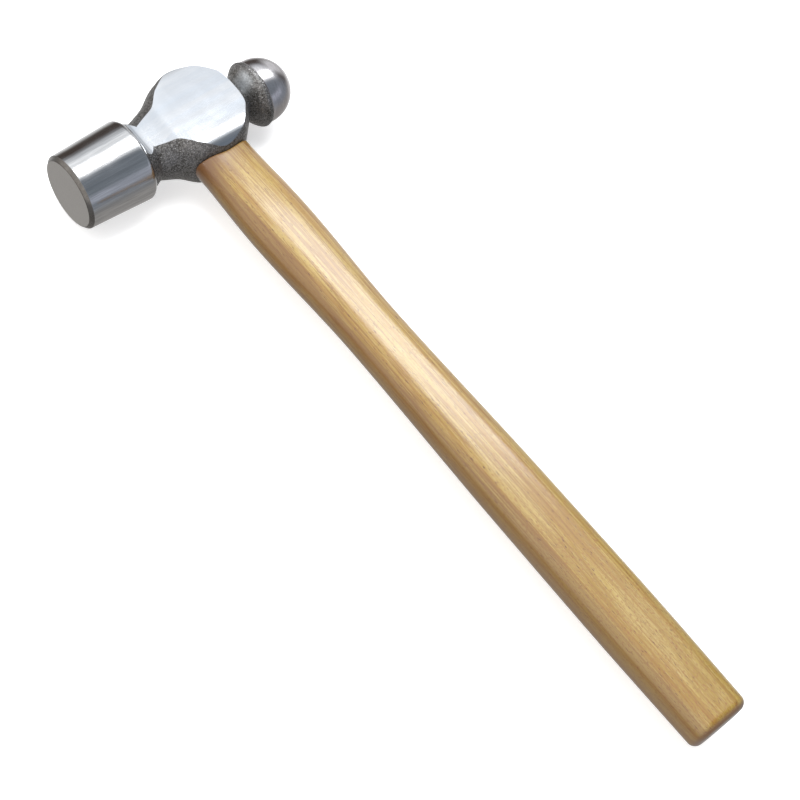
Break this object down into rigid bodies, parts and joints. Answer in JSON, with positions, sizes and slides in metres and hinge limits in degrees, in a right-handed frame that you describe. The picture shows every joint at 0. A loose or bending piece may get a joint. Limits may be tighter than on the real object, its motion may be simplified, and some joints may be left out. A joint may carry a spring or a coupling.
{
  "type": "ball peen hammer",
  "caption": "Ball peen hammer with a polished forged steel head wedged onto a waisted, lacquered hardwood handle.",
  "frame": {"origin": "middle of the footprint, on the surface that the hammer lies on with its cheek up", "axes": "+X is the striking face's outward normal, +Y runs down the handle to the butt, +Z is the upper cheek's normal"},
  "size_m": [0.1274, 0.3978, 0.041],
  "materials": {
    "head_steel": "ground bright on the poll, cheeks and ball, dark and as forged between them",
    "handle_wood": "clear lacquer over open-grained hardwood",
    "wedge_wood": "raw end grain",
    "wedge_steel": "bare, slightly dulled"
  },
  "bodies": {
    "root": {"hammer_head": "head_steel", "handle": "handle_wood", "wood_wedge": "wedge_wood", "steel_wedge_1": "wedge_steel", "steel_wedge_2": "wedge_steel"}
  },
  "joints": []
}
